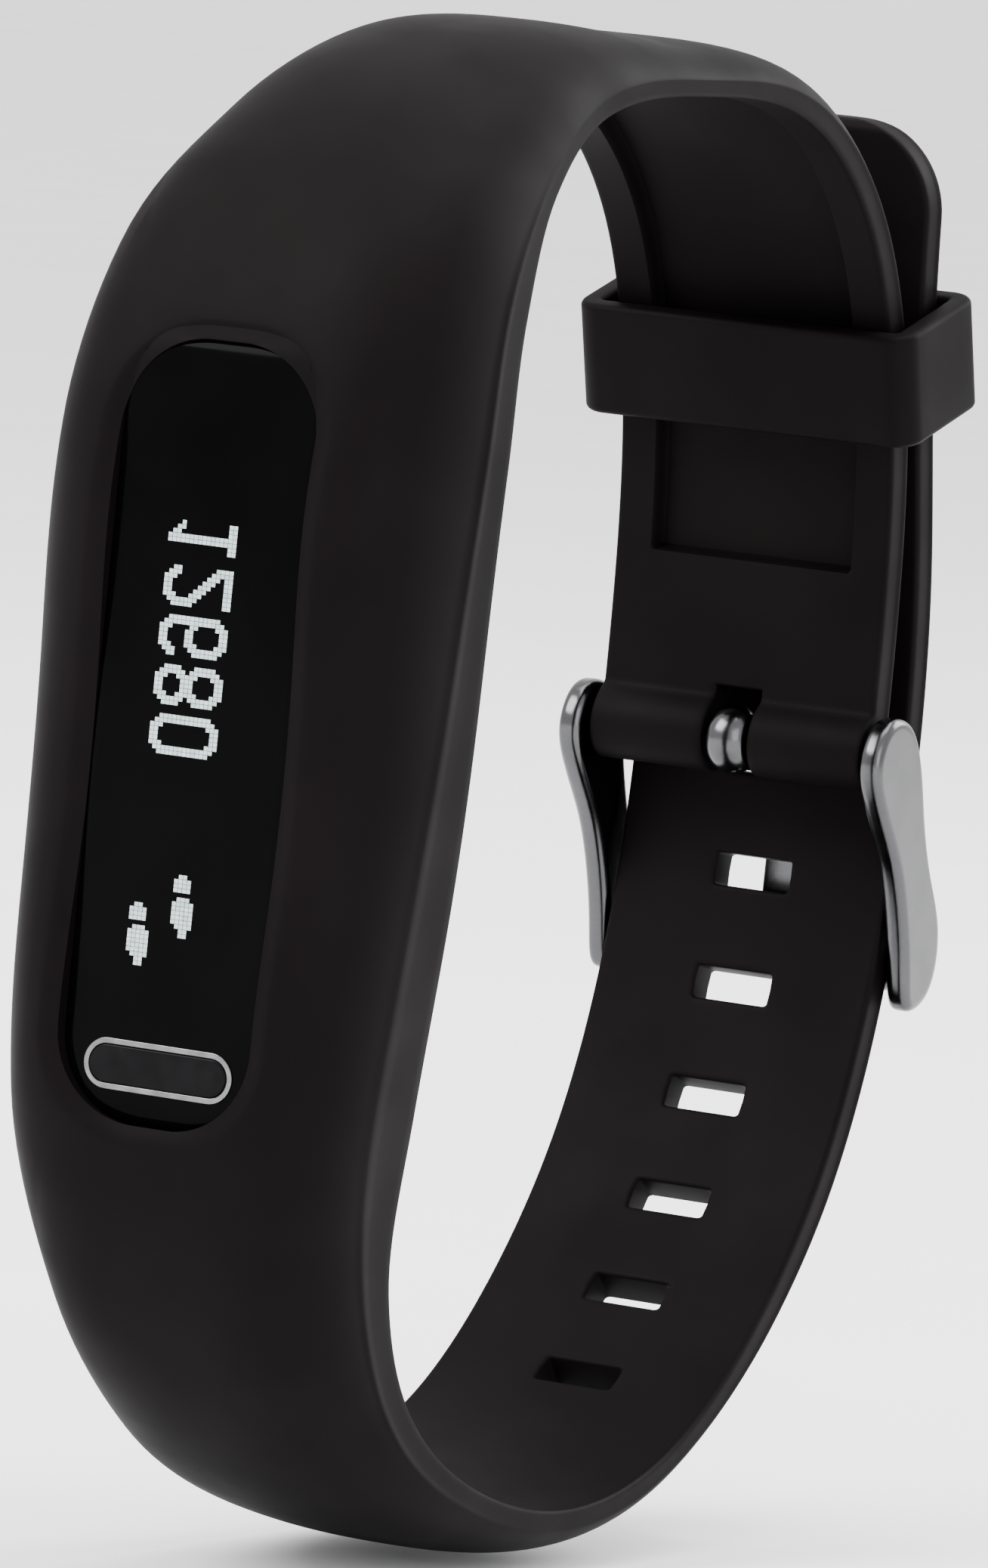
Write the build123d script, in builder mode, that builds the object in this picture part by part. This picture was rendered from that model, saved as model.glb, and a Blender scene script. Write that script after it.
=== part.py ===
from build123d import *
import math
import os

# Wristband with a removable activity tracker, buckled into a closed loop.
# Millimetres. X runs along the wrist, -Y is the side of the tracker's face, +Z is up
# along the tracker. The origin is the centre of the wrist opening, on the band's
# plane of symmetry (X = 0).

os.makedirs("parts", exist_ok=True)

# ---------------------------------------------------------------- driving dimensions
STRAP_WIDTH = 18.0
HOUSING_WIDTH = 25.1
HALF_STRAP = STRAP_WIDTH / 2
HALF_HOUSING = HOUSING_WIDTH / 2
TAIL_RADIUS = 5.5            # corner radius at the tip of the long strap

HOLE_WIDTH = 5.0             # strap holes, across the strap
HOLE_HEIGHT = 1.95           # strap holes, along the strap
HOLE_PITCH = 6.85
HOLE_COUNT = 10
HOLE_CORNER = 0.3
HOLE_CLEAR = 0.7             # how far a hole's cut runs past each face of the strap
LONG_STRAP_THICK = 2.2
FIRST_HOLE_FROM_TIP = 18.3

RECESS_WIDTH = 13.0          # shallow recess in the short strap's inner face
RECESS_DEPTH = 1.1
SHORT_STRAP_THICK = 2.3
RECESS_MOUTH = 0.2           # how far its cut runs out of the inner face
TIP_Z = 39.0                 # tip of the long strap
TIP_FRONT = 24.5             # the space that holds only the tip
TIP_BACK = 33.0

HOUSING_BACK = -12.0         # where the housing has narrowed to the strap
# half width (x, z) of the housing above and below its flat, slightly tapered side walls
HOUSING_TOP_EDGE = [(HALF_STRAP, 44.0), (9.4, 39.5), (11.2, 32.5), (HALF_HOUSING, 17.0)]
HOUSING_LOW_EDGE = [(11.75, -7.0), (10.9, -17.5), (9.6, -28.0), (HALF_STRAP, -37.0)]
HOUSING_LOW_END = -47.0      # the strap-wide part below it runs on past the band's lowest point
LIP_Y = -33.5                # where the side wall meets the crowned front
CROWN_Y = -39.8
CROWN_EDGE = [(HALF_HOUSING, LIP_Y), (11.4, -37.1), (6.5, CROWN_Y)]
CROWN_LENGTH = 100.0         # both covers of the band's form reach past all of it
FRONT_LIMIT = -46.0

TRACKER_WIDTH = 19.3
TRACKER_LENGTH = 48.0
TRACKER_THICK = 9.65
TRACKER_Z = 3.0              # middle of the tracker
FACE_Y = -39.0               # front of the tracker's face
BACK_Y = FACE_Y + TRACKER_THICK
OUTLINE_RADIUS = 6.0         # corner radius of the tracker seen from the front
EDGE_RADIUS = 4.0            # rounding of its front and back edges
POCKET_GAP = 0.15
POCKET_REACH = 9.0           # how far the pocket's cut runs out to the back
WALL = 1.0                   # tracker case wall
SPLIT_Y = -34.0              # joint line between front case and rear case

WINDOW_WIDTH = 12.1          # opening in the band over the tracker's face
WINDOW_LENGTH = 43.2
WINDOW_RADIUS = 5.0
WINDOW_BACK = FACE_Y + 3.0   # the cut for it ends inside the pocket
WINDOW_CUT = 4.0

HINGE_Y = 28.0               # spring bar axis
HINGE_Z = 2.0
ROLL_RADIUS = 2.3            # rolled end of the short strap
NOTCH_WIDTH = 3.0            # notch in the rolled end for the tang
NOTCH_TOP = 4.9
NOTCH_LOW = HINGE_Z - ROLL_RADIUS - 0.5
NOTCH_DEPTH = 2 * ROLL_RADIUS + 1.0

TUBE_RADIUS = 0.9            # spring bar tube
TUBE_BORE = 0.65
TUBE_LENGTH = 17.6
RUNNING_GAP = 0.04           # radial clearance of parts that turn or slide
PIN_TIP_RADIUS = 0.4
PIN_BODY_LENGTH = 3.6
PIN_CHAMFER = 0.08
PIN_SHOULDER_GAP = 0.05
TUBE_LIP = 0.4               # closed-in end of the tube that keeps the pin in
PIN_TIP_END = 9.95
SPRING_END_GAP = 0.15
SPRING_TURNS = 12
SPRING_RADIUS = 0.45
SPRING_WIRE_RADIUS = 0.14
SPRING_WIRE_SIDES = 12

ARM_INSIDE = 9.3             # buckle arm faces, from the middle
ARM_OUTSIDE = 10.75
ARM_ROUND = 0.5
EYE_HOLE_END = 10.15         # how far out the blind hole for the pin reaches
CROSSBAR_RADIUS = 1.15
CROSSBAR_Y = 34.2
CROSSBAR_Z = -11.2
CROSSBAR_HALF = ARM_INSIDE + 0.5

# side outline of a buckle arm (y, z): its eye, its front edge down, its heel and back up
ARM_OUTLINE = [
    (27.6, 4.3),
    (25.6, 3.3),
    (25.0, 1.2),
    (26.0, -0.9),
    (28.8, -4.4),
    (30.6, -8.0),
    (31.5, -11.0),
    (32.5, -13.2),
    (34.5, -12.8),
    (35.8, -10.6),
    (35.6, -8.2),
    (33.9, -5.2),
    (32.3, -1.9),
    (31.0, 1.6),
    (29.6, 3.6),
]
TANG_WIDTH = 2.4
TANG_THICK = 0.9
CURL_RADIUS = 2.05           # ball-shaped eye of the tang, set forward of the bar it turns on
CURL_Y = 27.2
CURL_Z = 1.85
CURL_WIDTH = 2.8
CURL_ROUND = 1.3
# middle line of the tang (y, z): through its strap hole, then down to the crossbar
TANG_PATH = [(28.3, 0.8), (31.5, 0.25), (34.3, 0.2), (35.7, -1.6), (35.95, -4.0), (35.95, -12.6)]

KEEPER_Y = 25.1              # point on the short strap's inner face that the keeper crosses
KEEPER_Z = 24.0
KEEPER_LEAN = 18.0           # degrees, follows the strap
KEEPER_HEIGHT = 6.8
KEEPER_WALL = 1.4
KEEPER_FRONT = -0.6          # front of its opening, measured from the strap's inner face
KEEPER_DEPTH = 6.9           # depth of its opening
KEEPER_INSIDE = 19.4         # width of its opening
KEEPER_CORNER = 1.6
KEEPER_INNER_CORNER = 0.6

LENS_WIDTH = 15.0            # smoked window over the whole face
LENS_LENGTH = 44.6
LENS_RADIUS = 5.6
LENS_BACK = -37.8
LENS_GAP = 0.05
LENS_CUT = 5.0               # depth of the cuts that clear the face

BUTTON_Z = -15.4
BUTTON_WIDTH = 9.3           # trim ring, overall
BUTTON_HEIGHT = 2.8
RING_WALL = 0.3
RING_GAP = 0.03
RING_PROUD = 0.08
RING_FLANGE_OUT = 0.45
BUTTON_PROUD = 0.15
BUTTON_ROUND = 0.12
BUTTON_TRAVEL = 0.3
RING_FLANGE = 0.3
CAP_BACK = -37.4             # back of the part of the cap that shows
CAP_FLANGE = 0.4
CAP_FLANGE_OUT = 0.2         # how far the flange stands out past the ring's outside
STEM_RADIUS = 0.9
STEM_BACK = -35.9
SEAL_BACK = -36.2
SEAL_THICK = 0.4
SEAL_WALL = 0.45
SEAL_WIDTH = 11.4
SEAL_HEIGHT = 4.9
SEAL_HOLE = STEM_RADIUS + 0.06

PANEL_WIDTH = 11.0           # display panel
PANEL_LENGTH = 30.0
PANEL_THICK = 1.2
PANEL_Z = 4.0
ADHESIVE_THICK = 0.15
ADHESIVE_BORDER = 0.8
CARRIER_WIDTH = 14.0         # moulded carrier behind the panel
CARRIER_LENGTH = 30.4
CARRIER_THICK = 0.6
CARRIER_CORNER = 2.0
CARRIER_GAP = 0.02
LEG_RADIUS = 0.8             # its four legs stand on the board
LEG_SPACING_X = 12.0
LEG_SPACING_Z = 26.4
FLEX_WIDTH = 6.0
FLEX_THICK = 0.12
FLEX_DEPTH = 0.3             # how far in front of the panel's back it leaves
FLEX_REACH = 1.6             # how far it stands out beyond the panel
FLEX_RETURN = 3.4            # length of the tail that runs back to its connector
FLEX_LIFT = 0.5              # height of that tail above the board
FLEX_BEND = 0.5

BOARD_FRONT = -33.5
BOARD_THICK = 0.8
BOARD_WIDTH = 16.4
BOARD_LENGTH = 42.0
BOARD_CORNER = 3.0
CHIP_CHAMFER = 0.1
SWITCH_WIDTH = 3.6
SWITCH_LENGTH = 3.0
SWITCH_HEIGHT = 1.5
PLUNGER_RADIUS = 0.7
PLUNGER_DEPTH = 0.4
PLUNGER_CLEAR = 0.1          # room left behind the plunger when pressed
PLUNGER_GAP = 0.02           # between the plunger and the button's stem

# name, width, length, height, x, z of what stands on the front of the board
BOARD_CHIPS = [
    ("microcontroller", 6.0, 6.0, 0.9, -2.0, 8.0),
    ("radio_module", 4.0, 4.0, 0.8, 3.6, 0.5),
    ("accelerometer", 3.0, 3.0, 1.0, -3.6, -1.0),
    ("pressure_sensor", 3.6, 3.8, 1.1, 3.4, 8.0),
    ("display_connector", 5.0, 1.8, 0.42, 0.0, 16.4),
]

MOTOR_RADIUS = 4.0
MOTOR_THICK = 2.0
MOTOR_Z = -12.6
BATTERY_WIDTH = 14.6
BATTERY_LENGTH = 24.0
BATTERY_THICK = 1.9
BATTERY_Z = 7.4
BATTERY_ROUND = 0.6
PAD_WIDTH = 12.6
PAD_LENGTH = 21.0
PAD_THICK = 0.15

CONTACT_COUNT = 4            # charging contacts in the back of the tracker
CONTACT_PITCH = 2.6
CONTACT_WIDTH = 1.3
CONTACT_LENGTH = 3.0
CONTACT_Z = -6.0
CONTACT_CORNER = 0.38
CONTACT_GAP = 0.02
CONTACT_DEPTH = 1.2
GASKET_THICK = 0.3
GASKET_INSET = 0.15

# Band along its length, from the short strap's end over the top, down the housing,
# round the bottom and up the back to the tail: inner face (y, z) and thickness.
STATIONS = [
    (27.1, 2.0, 2.3),
    (26.9, 12.5, 2.3),
    (25.4, 22.5, 2.3),
    (21.0, 32.0, 2.4),
    (11.8, 38.6, 3.1),
    (-2.0, 39.9, 3.1),
    (-14.0, 38.6, 4.5),
    (-22.5, 33.9, 6.4),
    (-27.2, 27.0, 9.2),
    (-28.8, 19.0, 11.0),
    (-28.8, 7.0, 11.0),
    (-28.8, -5.0, 11.0),
    (-29.1, -17.0, 10.8),
    (-27.5, -27.0, 8.0),
    (-22.2, -34.4, 5.2),
    (-12.8, -39.2, 3.6),
    (-1.0, -40.9, 3.3),
    (11.0, -38.0, 3.1),
    (20.1, -31.1, 2.5),
    (26.6, -22.4, 2.2),
    (30.4, -12.0, 2.2),
    (31.9, 0.0, 2.2),
    (31.2, 12.0, 2.2),
    (28.6, 24.4, 2.2),
    (27.2, 39.1, 2.2),
]
RECESS_FROM = 1              # stations between which the recess runs
RECESS_TO = 5


# ---------------------------------------------------------------- helpers
def front_plane(y, z=0.0):
    """A plane facing the front (-Y), with its local axes along X and Z."""
    return Plane(origin=(0, y, z), x_dir=(1, 0, 0), z_dir=(0, -1, 0))


def offset_line(stations, share):
    """A curve beyond the inner face by a share of the thickness, to the outside."""
    points = []
    for i, (y, z, thick) in enumerate(stations):
        before = stations[max(i - 1, 0)]
        after = stations[min(i + 1, len(stations) - 1)]
        dy = after[0] - before[0]
        dz = after[1] - before[1]
        reach = thick * share / math.hypot(dy, dz)
        points.append((y + dz * reach, z - dy * reach))
    return Spline(points)


def ribbon(width):
    """The whole band at one width: its side profile, extruded both ways."""
    with BuildPart() as part:
        with BuildSketch(Plane.YZ):
            with BuildLine():
                inner = offset_line(STATIONS, 0)
                outer = offset_line(STATIONS, 1)
                Line(inner @ 0, outer @ 0)
                Line(inner @ 1, outer @ 1)
            make_face()
        extrude(amount=width / 2, both=True)
    return part.part


def capsule(gap=0.0, extra_back=0.0):
    """The tracker's outer form, grown by a gap and optionally extended to the back."""
    back = BACK_Y + gap
    with BuildPart() as part:
        with BuildSketch(front_plane(back, TRACKER_Z)):
            RectangleRounded(TRACKER_WIDTH + 2 * gap, TRACKER_LENGTH + 2 * gap, OUTLINE_RADIUS + gap)
        extrude(amount=TRACKER_THICK + 2 * gap)
        fillet(part.faces().sort_by(Axis.Y)[0].edges(), EDGE_RADIUS)
        if extra_back:
            with BuildSketch(front_plane(back + extra_back, TRACKER_Z)):
                RectangleRounded(TRACKER_WIDTH + 2 * gap, TRACKER_LENGTH + 2 * gap, OUTLINE_RADIUS + gap)
            extrude(amount=extra_back)
        else:
            fillet(part.faces().sort_by(Axis.Y)[-1].edges(), EDGE_RADIUS)
    return part.part


def plate(width, length, radius, back, thick, z):
    """A flat rounded plate parallel to the tracker's face."""
    with BuildPart() as part:
        with BuildSketch(front_plane(back, z)):
            RectangleRounded(width, length, radius)
        extrude(amount=thick)
    return part.part


def rod(radius, x_low, x_high, y, z):
    """A round rod along X."""
    with BuildPart() as part:
        with BuildSketch(Plane(origin=(x_low, y, z), x_dir=(0, 1, 0), z_dir=(1, 0, 0))):
            Circle(radius)
        extrude(amount=x_high - x_low)
    return part.part


def finish(part, label):
    part.label = label
    export_step(part, f"parts/{label}.step")


# ---------------------------------------------------------------- band (one silicone moulding)
with BuildPart() as planform:
    with BuildSketch(front_plane(HOUSING_BACK)):
        with BuildLine():
            side = (HOUSING_LOW_EDGE[0][0] - HALF_HOUSING, HOUSING_LOW_EDGE[0][1] - HOUSING_TOP_EDGE[-1][1])
            top_edge = Spline(*HOUSING_TOP_EDGE, tangents=((0, -1), side))
            low_edge = Spline(*HOUSING_LOW_EDGE, tangents=(side, (0, -1)))
            top_middle = (0, HOUSING_TOP_EDGE[0][1])
            low_corner = (HALF_STRAP, HOUSING_LOW_END)
            low_middle = (0, HOUSING_LOW_END)
            Line(top_edge @ 1, low_edge @ 0)
            Polyline(top_edge @ 0, top_middle, low_middle, low_corner, low_edge @ 1)
        make_face()
        mirror(about=Plane.YZ)
    extrude(amount=HOUSING_BACK - FRONT_LIMIT)

with BuildPart() as crown:
    with BuildSketch(Plane.XY):
        with BuildLine():
            Polyline((0, 0), (HALF_HOUSING, 0), CROWN_EDGE[0])
            Spline(*CROWN_EDGE, tangents=((0, -1), (-1, 0)))
            Polyline(CROWN_EDGE[-1], (0, CROWN_Y), (0, 0))
        make_face()
        mirror(about=Plane.YZ)
    extrude(amount=CROWN_LENGTH / 2, both=True)

with BuildLine(Plane.YZ) as strap_line:
    strap_path = offset_line(STATIONS, 0)

with BuildPart() as straps:
    add(ribbon(STRAP_WIDTH))
    split(bisect_by=front_plane(HOUSING_BACK), keep=Keep.BOTTOM)

with BuildPart() as tip_trim:
    with BuildSketch(front_plane(TIP_BACK)):
        with Locations((0, TIP_Z)):
            Rectangle(STRAP_WIDTH + 2, 2 * TAIL_RADIUS)
        with Locations((0, TIP_Z - STRAP_WIDTH)):
            RectangleRounded(STRAP_WIDTH, 2 * STRAP_WIDTH, TAIL_RADIUS, mode=Mode.SUBTRACT)
    extrude(amount=TIP_BACK - TIP_FRONT)

with BuildPart() as recess:
    with BuildSketch(Plane.YZ):
        with BuildLine():
            span = STATIONS[RECESS_FROM:RECESS_TO + 1]
            floor = offset_line(span, RECESS_DEPTH / SHORT_STRAP_THICK)
            mouth = offset_line(span, -RECESS_MOUTH)
            Line(floor @ 0, mouth @ 0)
            Line(floor @ 1, mouth @ 1)
        make_face()
    extrude(amount=RECESS_WIDTH / 2, both=True)

with BuildPart() as band:
    add(ribbon(HOUSING_WIDTH))
    add(planform.part, mode=Mode.INTERSECT)
    add(crown.part, mode=Mode.INTERSECT)
    add(straps.part)
    add(tip_trim.part, mode=Mode.SUBTRACT)
    add(rod(ROLL_RADIUS, -HALF_STRAP, HALF_STRAP, HINGE_Y, HINGE_Z))
    add(capsule(POCKET_GAP, extra_back=POCKET_REACH), mode=Mode.SUBTRACT)
    add(
        plate(WINDOW_WIDTH, WINDOW_LENGTH, WINDOW_RADIUS, WINDOW_BACK, WINDOW_CUT, TRACKER_Z),
        mode=Mode.SUBTRACT,
    )
    add(recess.part, mode=Mode.SUBTRACT)
    add(rod(TUBE_RADIUS + RUNNING_GAP, -HALF_STRAP, HALF_STRAP, HINGE_Y, HINGE_Z), mode=Mode.SUBTRACT)
    with BuildSketch(Plane.YZ):
        with Locations((HINGE_Y, (NOTCH_TOP + NOTCH_LOW) / 2)):
            Rectangle(NOTCH_DEPTH, NOTCH_TOP - NOTCH_LOW)
    extrude(amount=NOTCH_WIDTH / 2, both=True, mode=Mode.SUBTRACT)
    for i in range(HOLE_COUNT):
        distance = strap_path.length - FIRST_HOLE_FROM_TIP - i * HOLE_PITCH
        point = strap_path.position_at(distance, position_mode=PositionMode.LENGTH)
        along = strap_path.tangent_at(distance, position_mode=PositionMode.LENGTH)
        outward = Vector(0, along.Z, -along.Y)
        start = point - outward * HOLE_CLEAR
        with BuildSketch(Plane(origin=start, x_dir=(1, 0, 0), z_dir=outward)):
            RectangleRounded(HOLE_WIDTH, HOLE_HEIGHT, HOLE_CORNER)
        extrude(amount=2 * HOLE_CLEAR + LONG_STRAP_THICK, mode=Mode.SUBTRACT)
finish(band.part, "band")

# ---------------------------------------------------------------- keeper loop
lean = math.radians(KEEPER_LEAN)
keeper_plane = Plane(
    origin=(0, KEEPER_Y, KEEPER_Z),
    x_dir=(1, 0, 0),
    z_dir=(0, -math.sin(lean), math.cos(lean)),
)
opening_middle = KEEPER_FRONT + KEEPER_DEPTH / 2
with BuildPart() as keeper_loop:
    with BuildSketch(keeper_plane):
        with Locations((0, opening_middle)):
            RectangleRounded(
                KEEPER_INSIDE + 2 * KEEPER_WALL,
                KEEPER_DEPTH + 2 * KEEPER_WALL,
                KEEPER_CORNER,
            )
            RectangleRounded(KEEPER_INSIDE, KEEPER_DEPTH, KEEPER_INNER_CORNER, mode=Mode.SUBTRACT)
    extrude(amount=KEEPER_HEIGHT / 2, both=True)
finish(keeper_loop.part, "keeper_loop")

# ---------------------------------------------------------------- spring bar
with BuildPart() as spring_bar_tube:
    half = TUBE_LENGTH / 2
    add(rod(TUBE_RADIUS, -half, half, HINGE_Y, HINGE_Z))
    add(rod(TUBE_BORE, -half + TUBE_LIP, half - TUBE_LIP, HINGE_Y, HINGE_Z), mode=Mode.SUBTRACT)
    add(rod(PIN_TIP_RADIUS + RUNNING_GAP, -half, half, HINGE_Y, HINGE_Z), mode=Mode.SUBTRACT)
finish(spring_bar_tube.part, "spring_bar_tube")

pin_shoulder = TUBE_LENGTH / 2 - TUBE_LIP - PIN_SHOULDER_GAP
pin_inner = pin_shoulder - PIN_BODY_LENGTH
for side, label in ((-1, "spring_bar_pin_left"), (1, "spring_bar_pin_right")):
    with BuildPart() as pin:
        body_ends = sorted((side * pin_inner, side * pin_shoulder))
        tip_ends = sorted((side * pin_inner, side * PIN_TIP_END))
        add(rod(TUBE_BORE - RUNNING_GAP, *body_ends, HINGE_Y, HINGE_Z))
        add(rod(PIN_TIP_RADIUS, *tip_ends, HINGE_Y, HINGE_Z))
        tip_face = -1 if side > 0 else 0
        chamfer(pin.faces().sort_by(Axis.X)[tip_face].edges(), PIN_CHAMFER)
    finish(pin.part, label)

spring_half = pin_inner - SPRING_END_GAP
with BuildPart() as spring_bar_spring:
    with BuildLine():
        coil = Helix(
            pitch=2 * spring_half / SPRING_TURNS,
            height=2 * spring_half,
            radius=SPRING_RADIUS,
            center=(-spring_half, HINGE_Y, HINGE_Z),
            direction=(1, 0, 0),
        )
    with BuildSketch(Plane(origin=coil @ 0, z_dir=coil % 0)):
        RegularPolygon(SPRING_WIRE_RADIUS, SPRING_WIRE_SIDES)
    sweep(is_frenet=True)
finish(spring_bar_spring.part, "spring_bar_spring")

# ---------------------------------------------------------------- buckle
with BuildPart() as buckle_frame:
    with BuildSketch(Plane.YZ.offset(ARM_INSIDE)):
        with BuildLine():
            Spline(*ARM_OUTLINE, periodic=True)
        make_face()
    extrude(amount=ARM_OUTSIDE - ARM_INSIDE)
    fillet(buckle_frame.edges(), ARM_ROUND)
    add(
        rod(PIN_TIP_RADIUS + RUNNING_GAP, ARM_INSIDE, EYE_HOLE_END, HINGE_Y, HINGE_Z),
        mode=Mode.SUBTRACT,
    )
    mirror(about=Plane.YZ)
    add(rod(CROSSBAR_RADIUS, -CROSSBAR_HALF, CROSSBAR_HALF, CROSSBAR_Y, CROSSBAR_Z))
finish(buckle_frame.part, "buckle_frame")

with BuildPart() as curl:
    add(rod(CURL_RADIUS, -CURL_WIDTH / 2, CURL_WIDTH / 2, CURL_Y, CURL_Z))
    fillet(curl.edges(), CURL_ROUND)

with BuildPart() as buckle_tang:
    with BuildSketch(Plane.YZ):
        with BuildLine():
            Spline(*TANG_PATH, tangents=((1, -0.2), (0, -1)))
        trace(line_width=TANG_THICK)
    extrude(amount=TANG_WIDTH / 2, both=True)
    add(curl.part)
    add(
        rod(TUBE_RADIUS + RUNNING_GAP, -CURL_WIDTH / 2, CURL_WIDTH / 2, HINGE_Y, HINGE_Z),
        mode=Mode.SUBTRACT,
    )
finish(buckle_tang.part, "buckle_tang")

# ---------------------------------------------------------------- tracker case
with BuildPart() as cavity:
    with BuildSketch(front_plane(BACK_Y - WALL, TRACKER_Z)):
        RectangleRounded(TRACKER_WIDTH - 2 * WALL, TRACKER_LENGTH - 2 * WALL, OUTLINE_RADIUS - WALL)
    extrude(amount=TRACKER_THICK - 2 * WALL)
    fillet(cavity.faces().sort_by(Axis.Y)[0].edges(), EDGE_RADIUS - WALL)
    fillet(cavity.faces().sort_by(Axis.Y)[-1].edges(), EDGE_RADIUS - WALL)

with BuildPart() as front_case:
    add(capsule())
    add(cavity.part, mode=Mode.SUBTRACT)
    split(bisect_by=front_plane(SPLIT_Y), keep=Keep.TOP)
    with BuildSketch(front_plane(LENS_BACK, TRACKER_Z)):
        RectangleRounded(
            LENS_WIDTH + 2 * LENS_GAP,
            LENS_LENGTH + 2 * LENS_GAP,
            LENS_RADIUS + LENS_GAP,
        )
    extrude(amount=LENS_CUT, mode=Mode.SUBTRACT)
finish(front_case.part, "front_case")

with BuildPart() as rear_case:
    add(capsule())
    add(cavity.part, mode=Mode.SUBTRACT)
    split(bisect_by=front_plane(SPLIT_Y + GASKET_THICK), keep=Keep.BOTTOM)
    with BuildSketch(front_plane(BACK_Y, CONTACT_Z)):
        with GridLocations(CONTACT_PITCH, 0, CONTACT_COUNT, 1):
            RectangleRounded(
                CONTACT_WIDTH + 2 * CONTACT_GAP,
                CONTACT_LENGTH + 2 * CONTACT_GAP,
                CONTACT_CORNER + CONTACT_GAP,
            )
    extrude(amount=CONTACT_DEPTH, mode=Mode.SUBTRACT)
finish(rear_case.part, "rear_case")

with BuildPart() as charging_contacts:
    with BuildSketch(front_plane(BACK_Y, CONTACT_Z)):
        with GridLocations(CONTACT_PITCH, 0, CONTACT_COUNT, 1):
            RectangleRounded(CONTACT_WIDTH, CONTACT_LENGTH, CONTACT_CORNER)
    extrude(amount=CONTACT_DEPTH)
finish(charging_contacts.part, "charging_contacts")

with BuildPart() as case_gasket:
    with BuildSketch(front_plane(SPLIT_Y + GASKET_THICK, TRACKER_Z)):
        RectangleRounded(
            TRACKER_WIDTH - 2 * GASKET_INSET,
            TRACKER_LENGTH - 2 * GASKET_INSET,
            OUTLINE_RADIUS - GASKET_INSET,
        )
        RectangleRounded(
            TRACKER_WIDTH - 2 * WALL,
            TRACKER_LENGTH - 2 * WALL,
            OUTLINE_RADIUS - WALL,
            mode=Mode.SUBTRACT,
        )
    extrude(amount=GASKET_THICK)
finish(case_gasket.part, "case_gasket")

with BuildPart() as display_window:
    add(capsule())
    add(
        plate(LENS_WIDTH, LENS_LENGTH, LENS_RADIUS, LENS_BACK, LENS_CUT, TRACKER_Z),
        mode=Mode.INTERSECT,
    )
    with BuildSketch(front_plane(LENS_BACK, BUTTON_Z)):
        SlotOverall(BUTTON_WIDTH + 2 * RING_GAP, BUTTON_HEIGHT + 2 * RING_GAP)
    extrude(amount=LENS_CUT, mode=Mode.SUBTRACT)
finish(display_window.part, "display_window")

# ---------------------------------------------------------------- button and switch
with BuildPart() as button_trim_ring:
    with BuildSketch(front_plane(LENS_BACK, BUTTON_Z)):
        SlotOverall(BUTTON_WIDTH, BUTTON_HEIGHT)
        SlotOverall(BUTTON_WIDTH - 2 * RING_WALL, BUTTON_HEIGHT - 2 * RING_WALL, mode=Mode.SUBTRACT)
    extrude(amount=LENS_BACK - FACE_Y + RING_PROUD)
    with BuildSketch(front_plane(LENS_BACK + RING_FLANGE, BUTTON_Z)):
        SlotOverall(BUTTON_WIDTH + 2 * RING_FLANGE_OUT, BUTTON_HEIGHT + 2 * RING_FLANGE_OUT)
        SlotOverall(BUTTON_WIDTH - 2 * RING_WALL, BUTTON_HEIGHT - 2 * RING_WALL, mode=Mode.SUBTRACT)
    extrude(amount=RING_FLANGE)
finish(button_trim_ring.part, "button_trim_ring")

cap_width = BUTTON_WIDTH - 2 * RING_WALL - 2 * RUNNING_GAP
cap_height = BUTTON_HEIGHT - 2 * RING_WALL - 2 * RUNNING_GAP
with BuildPart() as button_cap:
    with BuildSketch(front_plane(CAP_BACK, BUTTON_Z)):
        SlotOverall(cap_width, cap_height)
    extrude(amount=CAP_BACK - FACE_Y + BUTTON_PROUD)
    fillet(button_cap.faces().sort_by(Axis.Y)[0].edges(), BUTTON_ROUND)
    with BuildSketch(front_plane(CAP_BACK + CAP_FLANGE, BUTTON_Z)):
        SlotOverall(BUTTON_WIDTH + 2 * CAP_FLANGE_OUT, BUTTON_HEIGHT + 2 * CAP_FLANGE_OUT)
    extrude(amount=CAP_FLANGE)
    with BuildSketch(front_plane(STEM_BACK, BUTTON_Z)):
        Circle(STEM_RADIUS)
    extrude(amount=STEM_BACK - CAP_BACK)
finish(button_cap.part, "button_cap")

with BuildPart() as button_seal:
    with BuildSketch(front_plane(SEAL_BACK, BUTTON_Z)):
        SlotOverall(SEAL_WIDTH, SEAL_HEIGHT)
        Circle(SEAL_HOLE, mode=Mode.SUBTRACT)
    extrude(amount=SEAL_THICK)
    with BuildSketch(front_plane(SEAL_BACK - SEAL_THICK, BUTTON_Z)):
        SlotOverall(SEAL_WIDTH, SEAL_HEIGHT)
        SlotOverall(SEAL_WIDTH - 2 * SEAL_WALL, SEAL_HEIGHT - 2 * SEAL_WALL, mode=Mode.SUBTRACT)
    extrude(amount=SEAL_BACK - SEAL_THICK - LENS_BACK)
finish(button_seal.part, "button_seal")

with BuildPart() as switch_body:
    with BuildSketch(front_plane(BOARD_FRONT, BUTTON_Z)):
        Rectangle(SWITCH_WIDTH, SWITCH_LENGTH)
    extrude(amount=SWITCH_HEIGHT)
    with BuildSketch(front_plane(BOARD_FRONT - SWITCH_HEIGHT, BUTTON_Z)):
        Circle(PLUNGER_RADIUS + RUNNING_GAP)
    extrude(amount=-(PLUNGER_DEPTH + BUTTON_TRAVEL + PLUNGER_CLEAR), mode=Mode.SUBTRACT)
finish(switch_body.part, "switch_body")

plunger_back = BOARD_FRONT - SWITCH_HEIGHT + PLUNGER_DEPTH
with BuildPart() as switch_plunger:
    with BuildSketch(front_plane(plunger_back, BUTTON_Z)):
        Circle(PLUNGER_RADIUS)
    extrude(amount=plunger_back - STEM_BACK - PLUNGER_GAP)
finish(switch_plunger.part, "switch_plunger")

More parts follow.
